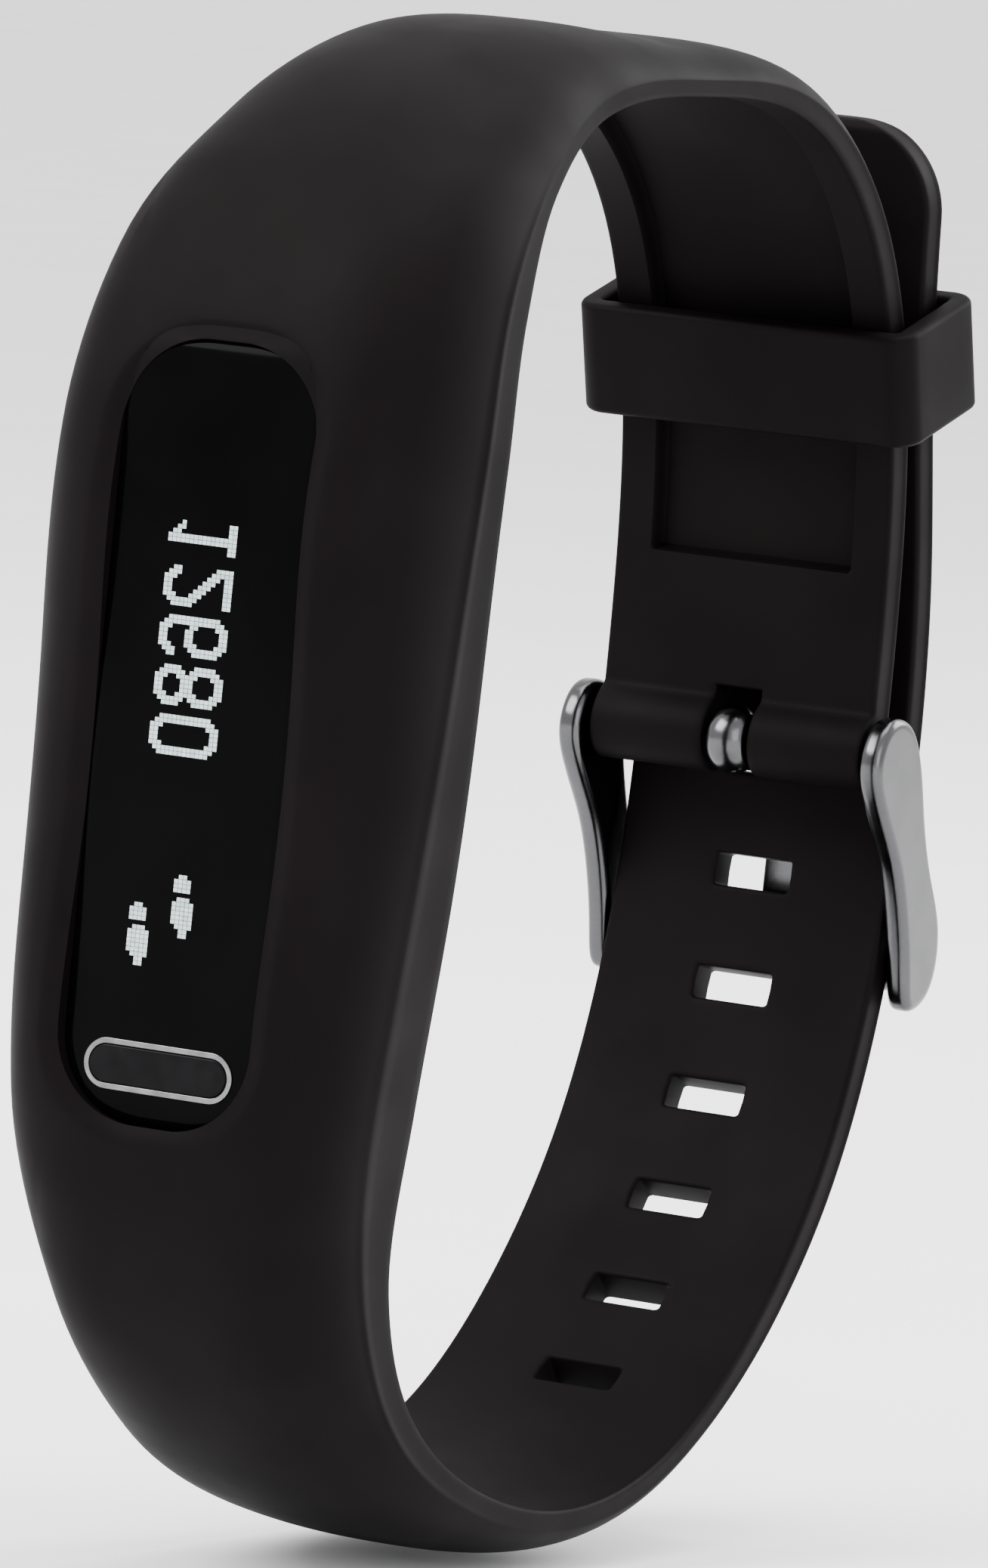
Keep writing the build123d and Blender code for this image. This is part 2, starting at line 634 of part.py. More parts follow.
# ---------------------------------------------------------------- display
with BuildPart() as window_adhesive:
    with BuildSketch(front_plane(LENS_BACK + ADHESIVE_THICK, PANEL_Z)):
        Rectangle(PANEL_WIDTH, PANEL_LENGTH)
        Rectangle(
            PANEL_WIDTH - 2 * ADHESIVE_BORDER,
            PANEL_LENGTH - 2 * ADHESIVE_BORDER,
            mode=Mode.SUBTRACT,
        )
    extrude(amount=ADHESIVE_THICK)
finish(window_adhesive.part, "window_adhesive")

panel_back = LENS_BACK + ADHESIVE_THICK + PANEL_THICK
with BuildPart() as oled_panel:
    with BuildSketch(front_plane(panel_back, PANEL_Z)):
        Rectangle(PANEL_WIDTH, PANEL_LENGTH)
    extrude(amount=PANEL_THICK)
finish(oled_panel.part, "oled_panel")

carrier_back = panel_back + CARRIER_GAP + CARRIER_THICK
with BuildPart() as display_carrier:
    with BuildSketch(front_plane(carrier_back, PANEL_Z)):
        RectangleRounded(CARRIER_WIDTH, CARRIER_LENGTH, CARRIER_CORNER)
    extrude(amount=CARRIER_THICK)
    with BuildSketch(front_plane(BOARD_FRONT, PANEL_Z)):
        with GridLocations(LEG_SPACING_X, LEG_SPACING_Z, 2, 2):
            Circle(LEG_RADIUS)
    extrude(amount=BOARD_FRONT - carrier_back)
finish(display_carrier.part, "display_carrier")

flex_start = PANEL_Z + PANEL_LENGTH / 2
with BuildPart() as display_flex:
    with BuildSketch(Plane.YZ):
        with BuildLine():
            FilletPolyline(
                (panel_back - FLEX_DEPTH, flex_start),
                (panel_back - FLEX_DEPTH, flex_start + FLEX_REACH),
                (BOARD_FRONT - FLEX_LIFT, flex_start + FLEX_REACH),
                (BOARD_FRONT - FLEX_LIFT, flex_start - FLEX_RETURN),
                radius=FLEX_BEND,
            )
        trace(line_width=FLEX_THICK)
    extrude(amount=FLEX_WIDTH / 2, both=True)
finish(display_flex.part, "display_flex")

# ---------------------------------------------------------------- circuit board
with BuildPart() as main_board:
    with BuildSketch(front_plane(BOARD_FRONT + BOARD_THICK, TRACKER_Z)):
        RectangleRounded(BOARD_WIDTH, BOARD_LENGTH, BOARD_CORNER)
    extrude(amount=BOARD_THICK)
finish(main_board.part, "main_board")

for label, width, length, height, x, z in BOARD_CHIPS:
    with BuildPart() as chip:
        with BuildSketch(front_plane(BOARD_FRONT, z)):
            with Locations((x, 0)):
                Rectangle(width, length)
        extrude(amount=height)
        chamfer(chip.faces().sort_by(Axis.Y)[0].edges(), CHIP_CHAMFER)
    finish(chip.part, label)

board_back = BOARD_FRONT + BOARD_THICK
with BuildPart() as vibration_motor:
    with BuildSketch(front_plane(board_back + MOTOR_THICK, MOTOR_Z)):
        Circle(MOTOR_RADIUS)
    extrude(amount=MOTOR_THICK)
finish(vibration_motor.part, "vibration_motor")

with BuildPart() as battery_pad:
    with BuildSketch(front_plane(board_back + PAD_THICK, BATTERY_Z)):
        Rectangle(PAD_WIDTH, PAD_LENGTH)
    extrude(amount=PAD_THICK)
finish(battery_pad.part, "battery_pad")

with BuildPart() as battery_cell:
    with BuildSketch(front_plane(board_back + PAD_THICK + BATTERY_THICK, BATTERY_Z)):
        Rectangle(BATTERY_WIDTH, BATTERY_LENGTH)
    extrude(amount=BATTERY_THICK)
    fillet(battery_cell.edges().filter_by(Axis.Z), BATTERY_ROUND)
finish(battery_cell.part, "battery_cell")
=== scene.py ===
import math

import bmesh
import bpy
import numpy as np
from mathutils import Matrix, Vector


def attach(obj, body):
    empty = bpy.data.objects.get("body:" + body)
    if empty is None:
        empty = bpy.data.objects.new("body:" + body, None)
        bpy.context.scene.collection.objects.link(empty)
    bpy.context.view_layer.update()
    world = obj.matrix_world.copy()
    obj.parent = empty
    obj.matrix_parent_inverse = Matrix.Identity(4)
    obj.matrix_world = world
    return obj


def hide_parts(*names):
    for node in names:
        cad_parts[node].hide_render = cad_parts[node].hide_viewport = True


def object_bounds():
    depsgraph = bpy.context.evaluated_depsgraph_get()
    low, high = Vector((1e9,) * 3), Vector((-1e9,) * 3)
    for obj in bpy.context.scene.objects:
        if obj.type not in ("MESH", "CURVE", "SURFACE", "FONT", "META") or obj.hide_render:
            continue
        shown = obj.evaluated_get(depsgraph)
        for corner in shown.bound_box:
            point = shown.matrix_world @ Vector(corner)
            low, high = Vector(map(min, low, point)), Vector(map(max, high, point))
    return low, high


# Wristband with an activity tracker. Lengths here are millimetres and become metres in
# make_mesh. X runs along the wrist, -Y is the side of the tracker's face, +Z is up.

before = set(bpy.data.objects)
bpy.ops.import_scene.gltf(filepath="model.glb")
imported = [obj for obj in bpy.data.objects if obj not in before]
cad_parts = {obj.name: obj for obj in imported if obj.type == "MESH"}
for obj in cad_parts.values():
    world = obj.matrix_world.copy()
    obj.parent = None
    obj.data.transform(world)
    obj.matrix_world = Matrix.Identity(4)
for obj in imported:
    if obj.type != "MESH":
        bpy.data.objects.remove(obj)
cad_low, cad_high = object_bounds()
MM = 0.001

# ---------------------------------------------------------------- band: driving dimensions
# Along the band, from the short strap's end over the top, down the housing, round the
# bottom and up to the tail: inner face (y, z), thickness, half width, height of the flat
# side wall, and how square the crowned outer face is across its width.
STATIONS = [
    (27.1, 2.0, 2.3, 9.0, 2.0, 14.0),
    (26.9, 12.5, 2.3, 9.0, 2.0, 14.0),
    (25.4, 22.5, 2.3, 9.0, 2.0, 14.0),
    (21.0, 32.0, 2.4, 9.0, 1.8, 9.0),
    (11.8, 38.6, 3.2, 9.0, 1.4, 4.5),
    (-2.0, 39.9, 3.1, 9.0, 1.0, 3.0),
    (-14.0, 38.6, 4.6, 9.25, 1.2, 2.7),
    (-22.5, 33.9, 6.4, 10.6, 1.5, 2.8),
    (-27.2, 27.0, 9.3, 12.0, 2.8, 4.2),
    (-28.8, 19.0, 11.15, 12.6, 3.2, 5.4),
    (-28.8, 7.0, 11.15, 12.3, 4.2, 5.6),
    (-28.8, -5.0, 11.15, 11.8, 5.2, 5.6),
    (-29.2, -17.0, 11.0, 10.95, 5.4, 5.4),
    (-27.5, -27.0, 8.1, 9.6, 3.4, 4.4),
    (-22.2, -34.4, 5.2, 9.05, 2.2, 2.8),
    (-12.8, -39.2, 3.6, 9.0, 1.4, 2.6),
    (-1.0, -40.9, 3.3, 9.0, 1.2, 2.8),
    (11.0, -38.0, 3.1, 9.0, 1.2, 4.0),
    (20.1, -31.1, 2.5, 9.0, 1.7, 9.0),
    (26.6, -22.4, 2.2, 9.0, 1.9, 14.0),
    (30.4, -12.0, 2.2, 9.0, 1.9, 14.0),
    (31.9, 0.0, 2.2, 9.0, 1.9, 14.0),
    (31.2, 12.0, 2.2, 9.0, 1.9, 14.0),
    (28.6, 24.4, 2.2, 9.0, 1.9, 14.0),
    (27.2, 39.1, 2.2, 9.0, 1.9, 14.0),
]
HOUSING_TOP_STATION = 6      # the tracker's window and pocket lie between these two
HOUSING_LOW_STATION = 15
CROWN_SPREAD = 1.02          # above 1 the crown meets the side wall in a crease
LIP_BEAD = 0.1               # the crease stands out by this much
# points down a side wall: share of the crease's bead, share of the way to the inner face
WALL_STEPS = [(0.8, 0.05), (1.0, 0.11), (0.7, 0.19), (0.2, 0.28), (0.0, 0.36), (0.0, 0.6), (0.0, 0.85)]
INNER_EDGE = 0.25            # rounding where the side wall meets the inner face

ROLL_RADIUS = 2.3            # rolled end of the short strap, round the spring bar
ROLL_Y = 28.0
ROLL_BLEND = 0.8
NOTCH_HALF = 1.5
NOTCH_TOP = 2.9              # along the strap from the spring bar's axis
TAIL_CORNER = 5.5
EDGE_ROUND = 0.22            # rounding of the edges of holes and notch

RECESS_HALF = 6.5
RECESS_DEPTH = 1.1
RECESS_WALL = 0.14           # half the width of its sloping wall
RECESS_FROM = 10.6           # along the strap from the spring bar's axis
RECESS_TO = 51.0

HOLE_HALF_WIDTH = 2.5
HOLE_HALF_HEIGHT = 0.975
HOLE_CORNER = 0.3
HOLE_PITCH = 6.85
HOLE_COUNT = 10
FIRST_HOLE_FROM_TIP = 18.3
HOLE_MARGIN = 2.2            # half length of the patch of mesh that holds one hole

TRACKER_Z = 3.0
FACE_Y = -39.0
WINDOW = (6.05, 21.6, 5.0)   # half width, half height, corner radius
RIM_WIDTH = 1.15
RIM_DEPTH = 0.55
POCKET = (9.75, 24.1, 6.1)
POCKET_EDGE = 4.0            # the tracker's rounded front edge
LENS_GAP = 0.04


# ---------------------------------------------------------------- curves
def natural_spline(knots, values):
    """Second-derivative form of a cubic spline through values, straight at its ends."""
    n = len(knots)
    step = np.diff(knots)
    system = np.eye(n)
    right = np.zeros((n, values.shape[1]))
    for i in range(1, n - 1):
        system[i, i - 1] = step[i - 1]
        system[i, i] = 2 * (step[i - 1] + step[i])
        system[i, i + 1] = step[i]
        right[i] = 6 * ((values[i + 1] - values[i]) / step[i] - (values[i] - values[i - 1]) / step[i - 1])
    bend = np.linalg.solve(system, right)

    def at(u):
        u = np.asarray(u, float)
        i = np.clip(np.searchsorted(knots, u) - 1, 0, n - 2)
        a = np.clip((knots[i + 1] - u) / step[i], 0, 1)[..., None]
        b = 1 - a
        size = (step[i] ** 2)[..., None] / 6
        inside = a * values[i] + b * values[i + 1] + ((a**3 - a) * bend[i] + (b**3 - b) * bend[i + 1]) * size
        return inside

    return at


def steady_spline(knots, values):
    """A smooth curve through values that never swings past them."""
    step = np.diff(knots)
    rate = np.diff(values) / step
    slope = np.zeros(len(knots))
    for i in range(1, len(knots) - 1):
        if rate[i - 1] * rate[i] > 0:
            slope[i] = 2 * rate[i - 1] * rate[i] / (rate[i - 1] + rate[i])

    def at(u):
        u = np.asarray(u, float)
        i = np.clip(np.searchsorted(knots, u) - 1, 0, len(knots) - 2)
        t = np.clip((u - knots[i]) / step[i], 0, 1)
        rise = values[i + 1] - values[i]
        start = slope[i] * step[i]
        end = slope[i + 1] * step[i]
        return values[i] + t * start + t**2 * (3 * rise - 2 * start - end) + t**3 * (start + end - 2 * rise)

    return at


stations = np.array(STATIONS)
chords = np.linalg.norm(np.diff(stations[:, :2], axis=0), axis=1)
KNOTS = np.concatenate(([0], np.cumsum(chords)))
LENGTH = KNOTS[-1]
across = np.gradient(stations[:, :2], axis=0)
across /= np.linalg.norm(across, axis=1)[:, None]
outward = np.stack([across[:, 1], -across[:, 0]], axis=1)
inner_curve = natural_spline(KNOTS, stations[:, :2])
outer_curve = natural_spline(KNOTS, stations[:, :2] + outward * stations[:, 2:3])
half_width_at = steady_spline(KNOTS, stations[:, 3])
wall_at = steady_spline(KNOTS, stations[:, 4])
square_at = steady_spline(KNOTS, stations[:, 5])


def smooth_max(a, b, k):
    return np.maximum(a, b) + np.maximum(k - np.abs(a - b), 0) ** 2 / (4 * k)


def smooth_step(t):
    t = np.clip(t, 0, 1)
    return t * t * (3 - 2 * t)


def quarter_round(distance, radius):
    """How far a surface has dropped at a distance from an edge rounded to a radius."""
    short = np.clip(radius - distance, 0, radius)
    return radius - np.sqrt(radius**2 - short**2)


# ---------------------------------------------------------------- the band's surfaces
def section(u):
    """Inner point, unit direction outwards and thickness at a distance u along the band."""
    below = np.minimum(u, 0)
    start = inner_curve(np.maximum(u, 0))
    end = outer_curve(np.maximum(u, 0))
    start = start + np.stack([0 * below, below], axis=-1)
    end = end + np.stack([0 * below, below], axis=-1)
    thick = np.linalg.norm(end - start, axis=-1)
    return start, (end - start) / thick[..., None], thick


def roll_reach(u):
    """Half the height of the strap's rolled end across the strap, at a distance u along it."""
    off = np.abs(u)
    inside = np.sqrt(np.clip(ROLL_RADIUS**2 - off**2, 0, None))
    return np.where(off < ROLL_RADIUS, inside, 3 * (ROLL_RADIUS - off))


def half_width(u):
    from_tip = LENGTH - u
    corner = np.clip(TAIL_CORNER - from_tip, 0, TAIL_CORNER)
    return half_width_at(u) - TAIL_CORNER + np.sqrt(TAIL_CORNER**2 - corner**2)


def notch_drop(x, u):
    off_side = np.maximum(np.abs(x) - NOTCH_HALF, 0)
    off_top = np.maximum(u - NOTCH_TOP, 0)
    return quarter_round(np.hypot(off_side, off_top), EDGE_ROUND)


def outer_height(x, u):
    _, _, thick = section(u)
    centre = ROLL_Y - STATIONS[0][0]
    rolled = centre + roll_reach(u)
    top = np.where(u < 0, rolled, smooth_max(thick, rolled, ROLL_BLEND))
    wall = wall_at(u) + top - thick
    squareness = square_at(u)
    share = np.clip(np.abs(x) / half_width(u), 0, 1) / CROWN_SPREAD
    crease = np.sqrt(1 - CROWN_SPREAD**-squareness)
    crown = (np.sqrt(1 - share**squareness) - crease) / (1 - crease)
    tip = quarter_round(LENGTH - u, 3 * EDGE_ROUND)
    return wall + (top - wall) * crown - notch_drop(x, u) - tip


def inner_height(x, u):
    centre = ROLL_Y - STATIONS[0][0]
    rolled = centre - roll_reach(u)
    low = np.where(u < 0, rolled, -smooth_max(0 * u, -rolled, ROLL_BLEND))
    edge = quarter_round(half_width(u) - np.abs(x), INNER_EDGE)
    in_width = smooth_step((RECESS_HALF + RECESS_WALL - np.abs(x)) / (2 * RECESS_WALL))
    along = np.minimum(u - RECESS_FROM, RECESS_TO - u)
    in_length = smooth_step((along + RECESS_WALL) / (2 * RECESS_WALL))
    tip = quarter_round(LENGTH - u, 3 * EDGE_ROUND)
    return low + edge + RECESS_DEPTH * in_width * in_length + notch_drop(x, u) + tip


def place(x, u, height):
    start, out, _ = section(u)
    spot = start + out * height[..., None]
    return np.concatenate([x[..., None], spot], axis=-1)


def outer_point(x, u):
    return place(x, u, outer_height(x, u))


def inner_point(x, u):
    return place(x, u, inner_height(x, u))


def find_u(surface, x, z):
    """The distance along the housing at which a surface reaches a height z."""
    low = np.full(x.shape, KNOTS[HOUSING_TOP_STATION])
    high = np.full(x.shape, KNOTS[HOUSING_LOW_STATION])
    for _ in range(40):
        middle = (low + high) / 2
        above = surface(x, middle)[..., 2] > z
        low = np.where(above, middle, low)
        high = np.where(above, high, middle)
    return (low + high) / 2


# ---------------------------------------------------------------- mesh helpers
class Skin:
    """Points and faces of one mesh, gathered in millimetres."""

    def __init__(self):
        self.points = []
        self.faces = []

    def add(self, points):
        first = len(self.points)
        points = np.asarray(points)
        self.points.extend(points.reshape(-1, 3))
        return np.arange(first, first + points[..., 0].size).reshape(points.shape[:-1])

    def grid(self, ids, keep=None):
        for r in range(ids.shape[0] - 1):
            for c in range(ids.shape[1] - 1):
                if keep is None or keep[r, c]:
                    self.faces.append((ids[r, c], ids[r, c + 1], ids[r + 1, c + 1], ids[r + 1, c]))

    def ring(self, a, b):
        for i in range(len(a)):
            j = (i + 1) % len(a)
            self.faces.append((a[i], a[j], b[j], b[i]))

    def rings(self, loops):
        for a, b in zip(loops, loops[1:]):
            self.ring(a, b)


def make_mesh(name, skin, sharp=35.0):
    data = bpy.data.meshes.new(name)
    used = sorted({int(i) for f in skin.faces for i in f})
    index = {old: new for new, old in enumerate(used)}
    points = [Vector(skin.points[i]) * MM for i in used]
    data.from_pydata(points, [], [[index[int(i)] for i in f] for f in skin.faces])
    shape = bmesh.new()
    shape.from_mesh(data)
    bmesh.ops.recalc_face_normals(shape, faces=shape.faces)
    for face in shape.faces:
        face.smooth = True
    for edge in shape.edges:
        if len(edge.link_faces) == 2 and edge.calc_face_angle() > math.radians(sharp):
            edge.smooth = False
    shape.to_mesh(data)
    shape.free()
    obj = bpy.data.objects.new(name, data)
    bpy.context.scene.collection.objects.link(obj)
    return obj


def outline(a, b, radius, us, vs):
    """Points round a rounded rectangle, from its top left corner along the top."""
    sides = [(u, 1.0) for u in us[:-1]]
    sides += [(1.0, -v) for v in vs[:-1]]
    sides += [(-u, -1.0) for u in us[:-1]]
    sides += [(-1.0, v) for v in vs[:-1]]
    points = []
    for u, v in sides:
        x, z = a * u, b * v
        over_x = abs(x) - (a - radius)
        over_z = abs(z) - (b - radius)
        if over_x > 0 and over_z > 0:
            reach = radius / math.hypot(over_x, over_z)
            x = math.copysign(a - radius + over_x * reach, x)
            z = math.copysign(b - radius + over_z * reach, z)
        points.append((x, z))
    return np.array(points)


def border(ids, r0, r1, c0, c1):
    """Indices round a block of a grid, in the same order as outline()."""
    top = [ids[r0, c] for c in range(c0, c1)]
    right = [ids[r, c1] for r in range(r0, r1)]
    low = [ids[r1, c] for c in range(c1, c0, -1)]
    left = [ids[r, c0] for r in range(r1, r0, -1)]
    return np.array(top + right + low + left)


def spread(count, corner_share):
    """Shares from -1 to 1 for an outline's side, close together near its corners."""
    half = count // 2
    near_corner = [0.5 + corner_share / 2, 0.75 + corner_share / 4, 1]
    rise = np.concatenate([np.linspace(0, corner_share, half - 2), near_corner])
    rise = rise[-(half + 1):]
    return np.concatenate([-rise[:0:-1], rise])


# ---------------------------------------------------------------- band: rows and columns
half_columns = [0, 0.055, 0.11, NOTCH_HALF / 9, 0.170, 0.177, 0.189, 0.24, 0.30, 0.36, 0.43, 0.50]
HOLE_COLUMN = 0.50
half_columns += [0.57, 0.64, 0.69]
recess_share = RECESS_HALF / 9
half_columns += [recess_share + k * RECESS_WALL / 9 for k in (-1.2, -0.6, 0, 0.6, 1.2)]
half_columns += [0.765, 0.79, 0.82]
WINDOW_COLUMN = 0.82
half_columns += [0.86, 0.90, 0.93, 0.955, 0.972, 0.984, 0.992, 1.0]
half_columns = np.array(half_columns)
columns = np.concatenate([-half_columns[:0:-1], half_columns])

roll_rows = [-ROLL_RADIUS * math.cos(math.radians(a)) for a in range(9, 90, 9)]
roll_rows += list(np.linspace(0.0, NOTCH_TOP, 13))
notch_rows = [NOTCH_TOP + EDGE_ROUND * k for k in (0.12, 0.35, 0.65, 1.0)]
recess_start = [RECESS_FROM + RECESS_WALL * k for k in (-1.1, -0.5, 0, 0.5, 1.1)]
recess_end = [RECESS_TO + RECESS_WALL * k for k in (-1.1, -0.5, 0, 0.5, 1.1)]
window_start = find_u(inner_point, np.zeros(1), np.array([30.0]))[0]
window_end = find_u(inner_point, np.zeros(1), np.array([-24.5]))[0]
window_rows = list(np.linspace(window_start, window_end, 61))
hole_places = [LENGTH - FIRST_HOLE_FROM_TIP - i * HOLE_PITCH for i in range(HOLE_COUNT)][::-1]
hole_steps = [-HOLE_MARGIN, -1.45, -0.7, 0.0, 0.7, 1.45, HOLE_MARGIN]


def fill(start, end, step):
    count = max(int(round((end - start) / step)), 1)
    return list(np.linspace(start, end, count + 1)[1:-1])


rows = roll_rows + notch_rows
rows += fill(rows[-1], recess_start[0], 1.0) + recess_start
rows += fill(rows[-1], recess_end[0], 1.0) + recess_end
rows += fill(rows[-1], window_start, 1.0) + window_rows
for spot in hole_places:
    rows += fill(rows[-1], spot - HOLE_MARGIN, 0.9)
    rows += [spot + step for step in hole_steps]
rows += fill(rows[-1], LENGTH - TAIL_CORNER, 1.0)
rows += [LENGTH - TAIL_CORNER * (1 - math.sin(math.radians(a))) for a in range(0, 90, 5)]
rows += [LENGTH - 0.006]
rows = np.array(rows)


def row_of(u):
    return int(np.argmin(np.abs(rows - u)))


def column_of(share):
    return int(np.argmin(np.abs(columns - share)))


# ---------------------------------------------------------------- band: mesh
def side_wall(side):
    """Points down one side of every row, from the crown's edge to the inner face."""
    width = half_width(rows)
    top = outer_height(width, rows)
    low = inner_height(width, rows)
    tall = top - low
    bead = LIP_BEAD * smooth_step((tall - 0.7) / 1.2)
    marks = []
    for out, share in WALL_STEPS:
        marks.append(place(side * (width + bead * out), rows, top - tall * share))
    return np.stack(marks, axis=1)


band = Skin()
grid_u = np.repeat(rows[:, None], len(columns), axis=1)
grid_x = half_width(rows)[:, None] * columns[None, :]
outer_ids = band.add(outer_point(grid_x, grid_u))
inner_ids = band.add(inner_point(grid_x, grid_u))
right_ids = band.add(side_wall(1))
left_ids = band.add(side_wall(-1))

keep = np.ones((len(rows) - 1, len(columns) - 1), bool)
notch_row = row_of(NOTCH_TOP)
notch_left = column_of(-NOTCH_HALF / 9)
notch_right = column_of(NOTCH_HALF / 9)
keep[:notch_row, notch_left:notch_right] = False


def patch(block, surface, ids, loops, edge_drop):
    """Fills a block of the grid round an opening. loops holds (offset, points) pairs from
    the opening outwards; returns the loop of indices at the opening's edge."""
    r0, r1, c0, c1 = block
    outer_loop = border(ids, r0, r1, c0, c1)
    edge_x = border(grid_x, r0, r1, c0, c1)
    edge_u = border(grid_u, r0, r1, c0, c1)
    made = []
    for offset, x, u in loops:
        spots = surface(x, u)
        _, out, _ = section(u)
        spots[:, 1:] += out * edge_drop(offset)
        made.append(band.add(spots))
    last_x, last_u = loops[-1][1], loops[-1][2]
    for share in (0.2, 0.45, 0.72):
        x = last_x + (edge_x - last_x) * share
        u = last_u + (edge_u - last_u) * share
        made.append(band.add(surface(x, u)))
    band.rings(made + [outer_loop])
    return made[0]


hole_left = column_of(-HOLE_COLUMN)
hole_right = column_of(HOLE_COLUMN)
hole_us = spread(hole_right - hole_left, 1 - HOLE_CORNER / HOLE_HALF_WIDTH)
hole_vs = spread(len(hole_steps) - 1, 1 - HOLE_CORNER / HOLE_HALF_HEIGHT)
HOLE_OFFSETS = (0, 0.015, 0.05, 0.11, EDGE_ROUND, 0.4)
for spot in hole_places:
    block = (row_of(spot - HOLE_MARGIN), row_of(spot + HOLE_MARGIN), hole_left, hole_right)
    keep[block[0]:block[1], block[2]:block[3]] = False
    loops = []
    for offset in HOLE_OFFSETS:
        points = outline(
            HOLE_HALF_WIDTH + offset, HOLE_HALF_HEIGHT + offset, HOLE_CORNER + offset, hole_us, hole_vs
        )
        loops.append((offset, points[:, 0], spot - points[:, 1]))
    outer_edge = patch(block, outer_point, outer_ids, loops, lambda d: -quarter_round(d, EDGE_ROUND))
    inner_edge = patch(block, inner_point, inner_ids, loops, lambda d: quarter_round(d, EDGE_ROUND))
    band.ring(outer_edge, inner_edge)

block = (
    row_of(window_start),
    row_of(window_end),
    column_of(-WINDOW_COLUMN),
    column_of(WINDOW_COLUMN),
)
keep[block[0]:block[1], block[2]:block[3]] = False
window_us = np.linspace(-1, 1, block[3] - block[2] + 1)
window_vs = np.linspace(-1, 1, block[1] - block[0] + 1)


def face_loop(shape, offset, surface):
    half, tall, corner = shape
    points = outline(half + offset, tall + offset, corner + offset, window_us, window_vs)
    x = points[:, 0]
    return offset, x, find_u(surface, x, points[:, 1] + TRACKER_Z)


RIM_OFFSETS = (0, 0.1, 0.25, 0.45, 0.65, 0.85, 1.0, RIM_WIDTH, 1.5, 2.0)
rim_loops = [face_loop(WINDOW, d, outer_point) for d in RIM_OFFSETS]
window_edge = patch(
    block, outer_point, outer_ids, rim_loops,
    lambda d: -RIM_DEPTH * max(1 - d / RIM_WIDTH, 0) ** 1.5,
)
POCKET_OFFSETS = (0, 0.02, 0.07, 0.14, INNER_EDGE, 0.5)
pocket_loops = [face_loop(POCKET, d, inner_point) for d in POCKET_OFFSETS]
pocket_edge = patch(
    block, inner_point, inner_ids, pocket_loops, lambda d: quarter_round(d, INNER_EDGE)
)
pocket_walls = [window_edge]
front = FACE_Y - LENS_GAP
for angle in (0, 12, 24, 36, 48, 60, 75, 90):
    bulge = POCKET_EDGE * math.sin(math.radians(angle))
    depth = POCKET_EDGE * (1 - math.cos(math.radians(angle)))
    half = max(POCKET[0] - POCKET_EDGE + bulge, WINDOW[0])
    tall = max(POCKET[1] - POCKET_EDGE + bulge, WINDOW[1])
    corner = max(POCKET[2] - POCKET_EDGE + bulge, WINDOW[2] - 1.5 * math.sin(math.radians(angle)))
    points = outline(half, tall, corner, window_us, window_vs)
    spots = np.stack([points[:, 0], np.full(len(points), front + depth), points[:, 1] + TRACKER_Z], axis=1)
    pocket_walls.append(band.add(spots))
pocket_walls.append(pocket_edge)
band.rings(pocket_walls)

band.grid(outer_ids, keep)
band.grid(inner_ids, keep)
right_loop = np.concatenate([outer_ids[:, -1:], right_ids, inner_ids[:, -1:]], axis=1)
left_loop = np.concatenate([outer_ids[:, :1], left_ids, inner_ids[:, :1]], axis=1)
band.grid(right_loop)
band.grid(left_loop)

both = np.stack([outer_ids, inner_ids], axis=-1)
band.grid(both[:notch_row + 1, notch_left])
band.grid(both[:notch_row + 1, notch_right])
band.grid(both[notch_row, notch_left:notch_right + 1])
band.grid(both[0, :notch_left + 1])
band.grid(both[0, notch_right:])
band.grid(both[-1])
for end in (0, -1):
    band.faces.append(tuple(right_loop[end]))
    band.faces.append(tuple(left_loop[end]))

band_piece = make_mesh("band_silicone", band)
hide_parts("band")
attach(band_piece, "wristband")

# ---------------------------------------------------------------- keeper loop
KEEPER_MIDDLE = (25.1, 24.0)
KEEPER_LEAN = math.radians(18.0)
KEEPER_HEIGHT = 6.8
KEEPER_WALL = 1.4
KEEPER_HALF = 9.7
KEEPER_FRONT = -0.6
KEEPER_DEPTH = 6.9
KEEPER_CORNER = 0.9
KEEPER_EDGE = 0.38


def keeper_section():
    """Across the wall and along the strap: a rounded rectangle, as (outwards, up)."""
    points = []
    for quarter, (sx, sz) in enumerate(((1, 1), (-1, 1), (-1, -1), (1, -1))):
        for step in range(6):
            angle = math.radians(90 * quarter + 18 * step)
            x = sx * (KEEPER_WALL / 2 - KEEPER_EDGE) + KEEPER_EDGE * math.cos(angle)
            z = sz * (KEEPER_HEIGHT / 2 - KEEPER_EDGE) + KEEPER_EDGE * math.sin(angle)
            points.append((x, z))
    return points


def keeper_path():
    """Round the opening at the middle of the wall: (x, depth) and its outward direction."""
    half_x = KEEPER_HALF + KEEPER_WALL / 2
    half_y = KEEPER_DEPTH / 2 + KEEPER_WALL / 2
    path = []
    for quarter, (sx, sy) in enumerate(((1, 1), (-1, 1), (-1, -1), (1, -1))):
        for step in range(9):
            angle = math.radians(90 * quarter + 11.25 * step)
            out = (math.cos(angle), math.sin(angle))
            x = sx * (half_x - KEEPER_CORNER) + KEEPER_CORNER * out[0]
            y = sy * (half_y - KEEPER_CORNER) + KEEPER_CORNER * out[1]
            path.append((x, y, out))
    full = []
    for (x0, y0, o0), (x1, y1, o1) in zip(path, path[1:] + path[:1]):
        full.append((x0, y0, o0))
        gap = math.hypot(x1 - x0, y1 - y0)
        for k in range(1, int(gap / 1.2) + 1):
            share = k / (int(gap / 1.2) + 1)
            full.append((x0 + (x1 - x0) * share, y0 + (y1 - y0) * share, o0))
    return full


